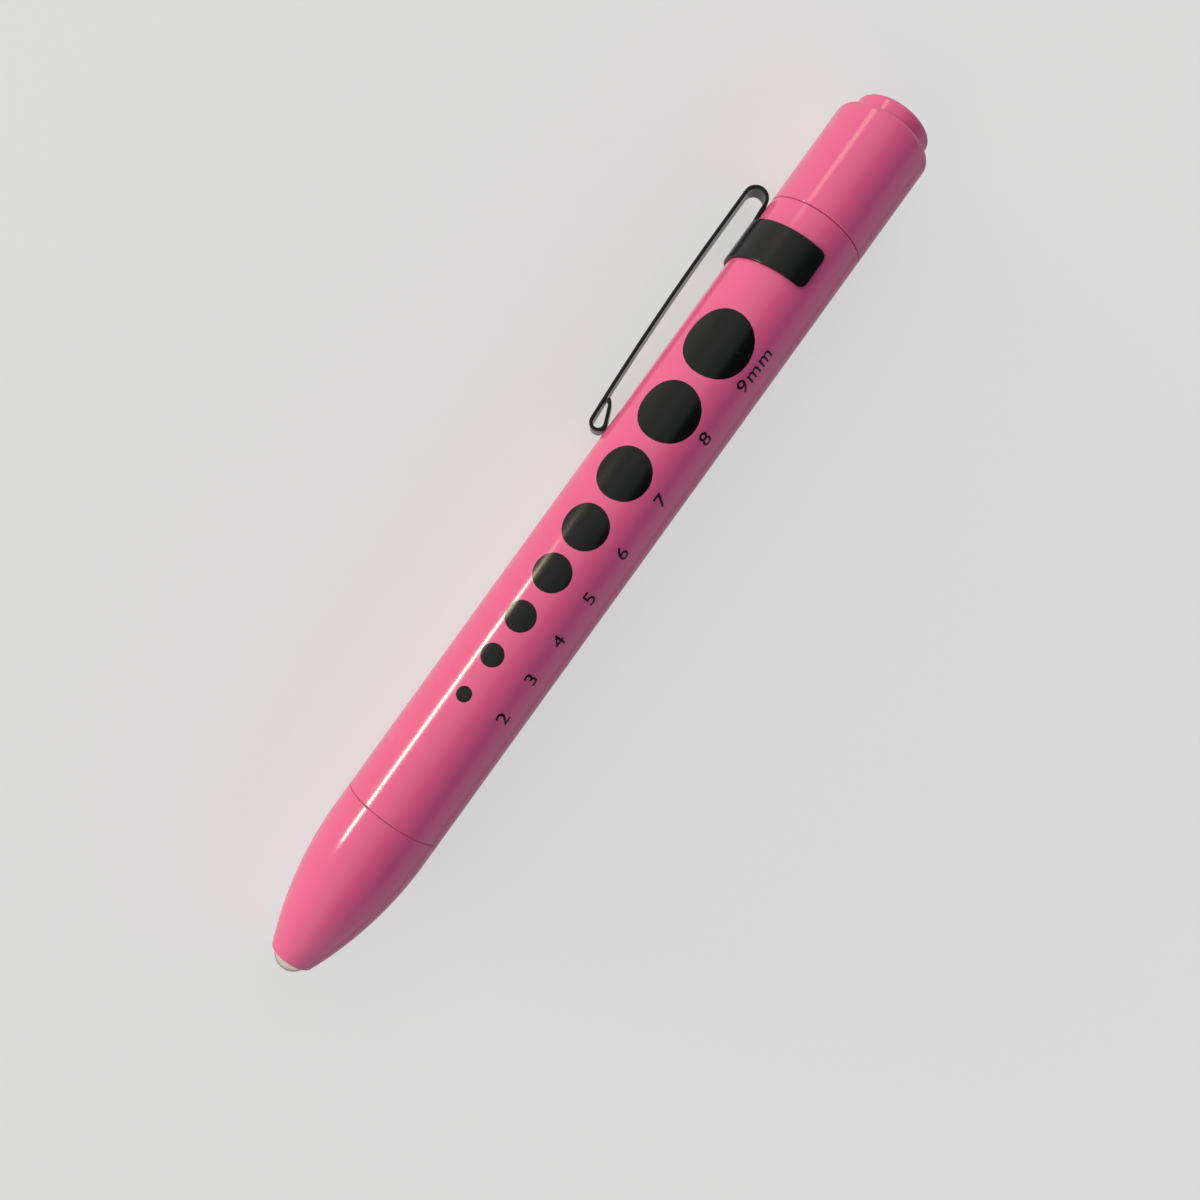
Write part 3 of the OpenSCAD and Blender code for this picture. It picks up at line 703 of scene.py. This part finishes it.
class PENLIGHT_OT_case(bpy.types.Operator):
    """Turn the head, the barrel, the tail cap and the button"""
    bl_idname = "penlight.case"
    bl_label = "Case"

    # Numbers of the finishes on each piece; the second carries painted seam shade
    PAINT, RUBBED, BARE = range(3)
    # Share of a seam's rounded edge that keeps its full paint; the rest has painted shade
    KEPT = 0.7
    # Room round a piece in its bore, and thickness of the button's flange, in millimetres
    ROOM, FLANGE = 0.05, 1

    def execute(self, context):
        size = in_mm()
        self.barrel(size)
        self.head(size)
        self.tail_cap(size)
        self.button(size)
        return {"FINISHED"}

    def barrel(self, size):
        """A tube with a threaded neck at each end."""
        r, edge, long, neck = size.case_radius, size.seam_edge, size.barrel_length, size.neck_length
        root = size.neck_radius - size.thread_depth

        def end(gap):
            """Outline of one end as (radius, height, rounding), from the bore to the case."""
            return [(size.bore_radius, -neck, 0.06), (root - 0.2, -neck, SOFT),
                    (root, 0.25 - neck, SOFT), (root, gap / 2, 0.12), (r, gap / 2, edge)]

        far_end = [(p[0], long - p[1], p[2]) for p in reversed(end(size.head_gap))]

        def pick(radius, height):
            if radius > r - edge * self.KEPT:
                return self.PAINT
            # The seam's end faces and the inner part of its rounded edge get the rubbed enamel with
            # painted shade
            seam = radius > root + 0.2 and -0.01 < height < long + 0.01
            return self.RUBBED if seam else self.BARE

        bm = bmesh.new()
        lathe(bm, rounded(end(size.cap_gap) + far_end), pick=pick)
        # The ridge of the thread has its foot sunk in the neck, and a rounded crest
        tall, crest, sunk, foot = size.thread_depth, 0.07, 0.05, size.thread_pitch * 0.43
        section = [(-sunk, -foot), (tall - 0.03, -crest), (tall, 0), (tall - 0.03, crest),
                   (-sunk, foot)]
        # It leaves a plain stretch before and after it, and fades in and out
        before, after, fade = 0.65, 0.75, 0.1
        climb = neck - before - after
        for low in (before - neck, long + after):
            helix(bm, section, climb / size.thread_pitch, 96, lambda share: root,
                  lambda share: low + share * climb,
                  lambda share: 0.02 + ramp(0, fade, share) * ramp(0, fade, 1 - share), self.BARE)
        settle("case_barrel", bm, case_finishes(), "barrel", ["barrel"])

    def head(self, size):
        """The ogive head, with its rolled lip round the lamp."""
        r, edge, seam = size.case_radius, size.seam_edge, size.barrel_length
        nose, bore, lip = seam + size.head_length, size.lamp_radius + self.ROOM, 0.2
        rise, inset = size.head_length - size.head_straight - lip, r - bore - lip
        ogive = (rise * rise + inset * inset - lip * lip) / (2 * (inset - lip))
        top = math.asin(rise / (ogive - lip))
        low = seam + size.head_straight
        outer = arc((r - ogive, low), ogive, 0, top, 60)
        rim = arc((bore + lip, nose - lip), lip, top, math.pi, 12)
        # Inside, the bore follows the lamp's flange and the tapered plug behind it
        shelf, seat = span("led")[0] + size.flange_height, size.flange_radius + self.ROOM
        (foot, tip), plug = span("led_holder"), 4.95
        socket, start = size.socket_radius, seam + size.head_gap / 2
        outline = rounded(
            [(socket, start, SOFT), (r, start, edge)] + outer + rim[1:]
            + [(bore, shelf), (seat, shelf), (seat, foot + 0.88 * (tip - foot)),
               (plug, foot + 0.63 * (tip - foot)), (plug, foot), (socket, foot)])

        def pick(radius, height):
            skin = radius > socket + self.ROOM
            # Next to the seam, the inner part of the rounded edge gets the rubbed enamel with
            # painted shade
            if skin and height < seam + edge and radius < r - edge * self.KEPT:
                return self.RUBBED
            ogive_skin = radius > bore + 0.02 and height > max(low, foot + 1)
            return self.PAINT if skin or ogive_skin else self.BARE

        bm = bmesh.new()
        lathe(bm, outline, pick=pick)
        settle("case_head", bm, case_finishes(), "head", ["head_shell"])

    def tail_cap(self, size):
        """The bored tail cap, with its rounded shoulder round the button."""
        r, edge, end = size.case_radius, size.seam_edge, -size.cap_length
        # Inside, the bore steps in at the retaining ring, the switch and the button
        ring, switch = span("retaining_ring")[0], span("switch_lid")[0]
        wall, start = span("button")[1] - self.FLANGE, -size.cap_gap / 2
        socket, ring_seat, switch_seat = size.socket_radius, 6.05, 5.8
        hole = size.button_radius + 0.08
        outline = rounded([
            (socket, start, SOFT), (socket, ring), (ring_seat, ring), (ring_seat, switch),
            (switch_seat, switch), (switch_seat, wall), (hole, wall), (hole, end, SOFT),
            (r, end, size.cap_shoulder), (r, start, edge)], 10)

        def pick(radius, height):
            skin = radius > socket + self.ROOM
            # Next to the seam, the inner part of the rounded edge gets the rubbed enamel with
            # painted shade
            if skin and height > -edge and radius < r - edge * self.KEPT:
                return self.RUBBED
            return self.PAINT if skin or height < wall - 0.05 else self.BARE

        bm = bmesh.new()
        lathe(bm, outline, pick=pick)
        settle("case_tail_cap", bm, case_finishes(), "tail_cap", ["tail_cap"])

    def button(self, size):
        """The push button: a cup with a flange that stays inside the tail cap."""
        low, high = span("button")
        r, skin, brim, step = size.button_radius, 1.2, 5.72, high - self.FLANGE
        outline = rounded([
            (0, low + 0.02), (r - 1.6, low, 6), (r, low, size.button_edge), (r, step, SOFT),
            (brim, step, 0.1), (brim, high, 0.1), (r - skin, high, 0.1),
            (r - skin, low + skin, 0.3), (0, low + skin)], 8)

        def pick(radius, height):
            side = radius > r - skin / 2 and height < step + 0.1
            return self.PAINT if side or height < low + skin / 2 else self.BARE

        bm = bmesh.new()
        lathe(bm, outline, pick=pick)
        settle("case_button", bm, case_finishes(), "button", ["button"])


class PENLIGHT_OT_gauge(bpy.types.Operator):
    """Print the gauge: eight dots and their numerals"""
    bl_idname = "penlight.gauge"
    bl_label = "Gauge"

    # Distance of each dot and each numeral from the head seam, in millimetres
    DOTS = {2: 17.84, 3: 23.61, 4: 29.36, 5: 35.8, 6: 42.64, 7: 50.61, 8: 59.89, 9: 70.12}
    NUMERALS = (("2", 18.05), ("3", 23.83), ("4", 29.53), ("5", 35.91), ("6", 42.72), ("7", 50.69),
                ("8", 59.96), ("9", 67.85), ("m", 69.95), ("m", 72.35))
    # Their angles from the clip, in degrees
    DOT_ANGLE, NUMERAL_ANGLE = 80, 129
    # Height of the numerals in the built-in typeface, and how much wider and heavier they are set
    TYPE_HEIGHT, WIDER, HEAVIER = 0.73, 1.1, 0.006

    def execute(self, context):
        size = in_mm()
        ink = finish(printing_ink, tuple(context.scene.penlight_colours.ink))
        dots = bmesh.new()
        for width, station in self.DOTS.items():
            dot = bmesh.new()
            bmesh.ops.create_circle(dot, cap_ends=True, radius=width / 2, segments=96)
            self.wrap(dots, dot, size, station, self.DOT_ANGLE)
        settle("gauge_dots", dots, [ink], "barrel", ["gauge_print"])
        numerals = bmesh.new()
        for letter, station in self.NUMERALS:
            glyph = self.glyph(letter, size.numeral_height)
            self.wrap(numerals, glyph, size, station, self.NUMERAL_ANGLE)
        settle("gauge_numerals", numerals, [ink], "barrel")
        return {"FINISHED"}

    def glyph(self, letter, height):
        """One numeral as flat faces, with its middle at the origin and half its height above it."""
        text = bpy.data.curves.new("glyph", "FONT")
        text.body, text.resolution_u = letter, 6
        holder = bpy.data.objects.new("glyph", text)
        mesh = bpy.data.meshes.new_from_object(holder)
        bm = bmesh.new()
        bm.from_mesh(mesh)
        bpy.data.objects.remove(holder)
        bpy.data.curves.remove(text)
        bpy.data.meshes.remove(mesh)
        bmesh.ops.remove_doubles(bm, verts=bm.verts, dist=1e-5)
        # The text's own offset would fill in the 4
        embolden(bm, self.HEAVIER)
        scale = height / self.TYPE_HEIGHT
        xs = [point.co.x for point in bm.verts]
        middle = (min(xs) + max(xs)) / 2
        for point in bm.verts:
            point.co = ((point.co.x - middle) * scale * self.WIDER,
                        point.co.y * scale - height / 2, 0)
        return bm

    def wrap(self, bm, flat, size, station, angle):
        """Lays a flat print on the barrel, reading towards the tail, at an angle from the clip."""
        ys = [point.co.y for point in flat.verts]
        facet, sunk = 0.2, 0.02
        slice_up(flat, 1, steps_between(min(ys), max(ys), facet))
        thicken(flat, -sunk, size.ink_thickness)
        for point in flat.verts:
            x, y, z = point.co
            a = math.radians(-angle) + y / size.case_radius
            r = size.case_radius + z
            point.co = (r * math.cos(a), r * math.sin(a), size.barrel_length - station - x)
        join(bm, flat)


class PENLIGHT_OT_clip(bpy.types.Operator):
    """Cut the clip's blank from sheet and bend it"""
    bl_idname = "penlight.clip"
    bl_label = "Clip"

    # Room between the barrel and the band, and between the barrel and the tip, in millimetres
    BAND_ROOM, TIP_ROOM = 0.03, 0.05
    # Length of the return leg behind the tip and of its kinked end, in millimetres
    RETURN_LEG, KINK = 2.3, 1.1
    # Half of the band's wrap, turn of the arm up to its return leg, and of the kink, in degrees
    WRAP, CURL_TURN, KINK_TURN = 118, 203, 40

    def execute(self, context):
        size = in_mm()
        self.grip = size.case_radius + self.BAND_ROOM + size.clip_thickness / 2
        self.path = self.centre_line(size)
        bm = self.blank(size)
        for point in bm.verts:
            point.co = self.bend(size, *point.co)
        black = finish(blackened_steel, tuple(context.scene.penlight_colours.clip))
        piece = settle("spring_clip", bm, [black], None,
                       ["clip_band", "clip_arm"], sharp=40)
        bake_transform(piece)
        return {"FINISHED"}

    def centre_line(self, size):
        """Stretches of the strip's middle, from the band's edge to the tip, as (length, radius).
        A radius of 0 is straight, and every bend turns the same way."""
        bend, curl = (size.arm_distance - self.grip) / 2, size.curl_radius
        tip = size.case_radius + self.TIP_ROOM + curl + size.clip_thickness / 2
        run, fall = size.arm_bow, size.arm_distance - tip
        bow = (run * run + fall * fall - curl ** 2) / (2 * (fall - curl))
        angle = math.asin(run / (bow - curl))
        return [(size.band_width, 0), (size.band_setback - size.bend_height, 0),
                (math.pi * bend, bend), (size.arm_straight, 0), (bow * angle, bow),
                ((math.radians(self.CURL_TURN) - angle) * curl, curl), (self.RETURN_LEG, 0),
                (self.KINK, self.KINK / math.radians(self.KINK_TURN))]

    def blank(self, size):
        """The flat blank: the band across, the strip along, with softened edges."""
        half, wide = size.clip_width / 2, self.grip * math.radians(self.WRAP)
        band, end = size.band_width, sum(stretch[0] for stretch in self.path)
        right = [(half, 0), (wide, 0.6, 1), (wide, band, 1), (half, band, 0.5), (half, end, 0.5)]
        bm = bmesh.new()
        bm.faces.new([bm.verts.new((x, y, 0)) for x, y in
                      rounded(right + [(-p[0], *p[1:]) for p in reversed(right)], 8)])
        # Facets across the band, along the straight stretches, and as a share of a bend's radius
        band_facet, facet, bend_facet = 0.36, 0.6, 0.09
        slice_up(bm, 0, steps_between(-wide, wide, band_facet))
        start, cuts = 0, []
        for stretch, radius in self.path:
            step = facet if radius == 0 or radius > 50 else radius * bend_facet
            cuts += steps_between(start, start + stretch, step) + [start + stretch]
            start += stretch
        slice_up(bm, 1, cuts[:-1])
        thicken(bm, -size.clip_thickness / 2, size.clip_thickness / 2)
        rim = [edge for edge in bm.edges if edge.calc_face_angle(0) > 1
               and abs(edge.verts[0].co.z - edge.verts[1].co.z) < 1e-6]
        bmesh.ops.bevel(bm, geom=rim, offset=0.08, segments=2, profile=0.5, affect="EDGES")
        return bm

    def bend(self, size, across, along, off):
        """Where a point of the blank goes: round the barrel in the band, then along the bends."""
        where = Vector((self.grip, size.band_setback + size.band_width))
        heading, left = -math.pi / 2, along
        for stretch, radius in self.path:
            part = min(max(left, 0), stretch)
            if radius:
                side = Vector((-math.sin(heading), math.cos(heading)))
                turn = part / radius
                heading += turn
                where += (side - Vector((-math.sin(heading), math.cos(heading)))) * radius
            else:
                where += Vector((math.cos(heading), math.sin(heading))) * part
            left -= part
        side = Vector((-math.sin(heading), math.cos(heading)))
        hug = (1 - ramp(size.band_width, size.band_width + 2, along)) / self.grip
        if hug > 1e-6:
            lift = (1 / hug + off) * math.cos(hug * across) - 1 / hug
            across = (1 / hug + off) * math.sin(hug * across)
        else:
            lift = off
        where += side * lift
        return where.x, across, where.y


class PENLIGHT_OT_lamp(bpy.types.Operator):
    """Make the clear lamp, and finish its lead frame, holder and board"""
    bl_idname = "penlight.lamp"
    bl_label = "Lamp"

    def execute(self, context):
        size = in_mm()
        low, high = span("led")
        r, foot, shelf = size.lamp_radius, size.flange_radius, low + size.flange_height
        bm = bmesh.new()
        lathe(bm, rounded([(0, low), (foot, low, 0.08), (foot, shelf, 0.08), (r, shelf, SOFT)]
                          + arc((0, high - r), r, 0, math.pi / 2, 32)), 96)
        settle("lamp_body", bm, [finish(cast_epoxy)], "light_unit", ["led"])
        # The phosphor fills the cup of the lead frame, which stands beside the axis
        cup, aside = low + 4.2, -0.72
        bm = bmesh.new()
        lathe(bm, rounded([(0, cup - 0.5), (0.42, cup - 0.5, SOFT), (0.62, cup - 0.05, 0.02),
                           (0.3, cup + 0.06, 0.2), (0, cup + 0.12)]), 48)
        bmesh.ops.translate(bm, verts=bm.verts, vec=(0, aside, 0))
        settle("lamp_phosphor", bm, [grain_finish("yellow_phosphor")], "light_unit")
        dress(grain_finish("tin_dipped_steel"), "led_leadframe")
        dress(grain_finish("white_nylon"), "led_holder")
        dress(grain_finish("masked_board"), "led_board")
        dress(grain_finish("glazed_chip"), "resistor")
        dress(grain_finish("drawn_brass"), "positive_contact")
        return {"FINISHED"}


class PENLIGHT_OT_power(bpy.types.Operator):
    """Make the two cells and the battery spring"""
    bl_idname = "penlight.power"
    bl_label = "Cells and spring"

    def execute(self, context):
        sleeve, can = grain_finish("printed_film"), grain_finish("nickel_plate")
        for node in ("front_cell", "rear_cell"):
            low, high = span(node)
            # Dished foot, rolled edge, sleeve, crimped shoulder and raised cap
            outline = rounded([
                (0, low + 0.12), (4.0, low + 0.12, 0.1), (4.2, low, 0.1), (4.9, low, 0.2),
                (5.1, low + 0.3, 0.15), (5.25, low + 0.35, SOFT), (5.25, high - 1.45, 0.2),
                (4.7, high - 1.35, 0.1), (4.6, high - 1.15, 0.1), (1.9, high - 1, 0.15),
                (1.9, high, 0.3), (0, high)])

            def pick(radius, height):
                return 0 if radius > 4.72 and height > low + 0.2 else 1

            bm = bmesh.new()
            lathe(bm, outline, 96, pick)
            settle("sleeved_" + node, bm, [sleeve, can], "barrel", [node])
        coil("tail_spring", "battery_spring", low_radius=3.3, high_radius=2.3, wire=0.3, turns=5.5)
        return {"FINISHED"}


class PENLIGHT_OT_switch(bpy.types.Operator):
    """Finish the switch in the tail cap, and wind its return spring"""
    bl_idname = "penlight.switch"
    bl_label = "Switch"

    def execute(self, context):
        wire = 0.175
        radius = girth("return_spring") / MM - wire
        coil("switch_spring", "return_spring", radius, radius, wire, turns=6.5)
        dress(grain_finish("white_nylon"), "switch_housing", "switch_lid")
        dress(grain_finish("grey_acetal"), "switch_plunger")
        dress(grain_finish("drawn_brass"), "moving_contact", "fixed_contact", "side_contact")
        dress(finish(turned_aluminium), "retaining_ring")
        return {"FINISHED"}


class PENLIGHT_PT_panel(bpy.types.Panel):
    """Sizes, colours and makers of the penlight"""
    bl_idname = "PENLIGHT_PT_panel"
    bl_label = "Penlight"
    bl_space_type = "VIEW_3D"
    bl_region_type = "UI"
    bl_category = "Penlight"

    def draw(self, context):
        scene = context.scene
        for maker in MAKERS:
            self.layout.operator(maker.bl_idname)
        for group in (scene.penlight_sizes, scene.penlight_colours, scene.penlight_stage):
            box = self.layout.box()
            for name in type(group).__annotations__:
                box.prop(group, name)


MAKERS = (PENLIGHT_OT_stage, PENLIGHT_OT_case, PENLIGHT_OT_gauge, PENLIGHT_OT_clip,
          PENLIGHT_OT_lamp, PENLIGHT_OT_power, PENLIGHT_OT_switch)
CLASSES = (PenlightSizes, PenlightColours, PenlightStage) + MAKERS + (PENLIGHT_PT_panel,)


def register():
    for part in CLASSES:
        bpy.utils.register_class(part)
    bpy.types.Scene.penlight_sizes = bpy.props.PointerProperty(type=PenlightSizes)
    bpy.types.Scene.penlight_colours = bpy.props.PointerProperty(type=PenlightColours)
    bpy.types.Scene.penlight_stage = bpy.props.PointerProperty(type=PenlightStage)


def unregister():
    del bpy.types.Scene.penlight_stage
    del bpy.types.Scene.penlight_colours
    del bpy.types.Scene.penlight_sizes
    for part in reversed(CLASSES):
        bpy.utils.unregister_class(part)


def main():
    register()
    bpy.ops.penlight.stage()
    bpy.ops.penlight.case()
    bpy.ops.penlight.gauge()
    bpy.ops.penlight.clip()
    bpy.ops.penlight.lamp()
    bpy.ops.penlight.power()
    bpy.ops.penlight.switch()


if __name__ == "__main__":
    main()
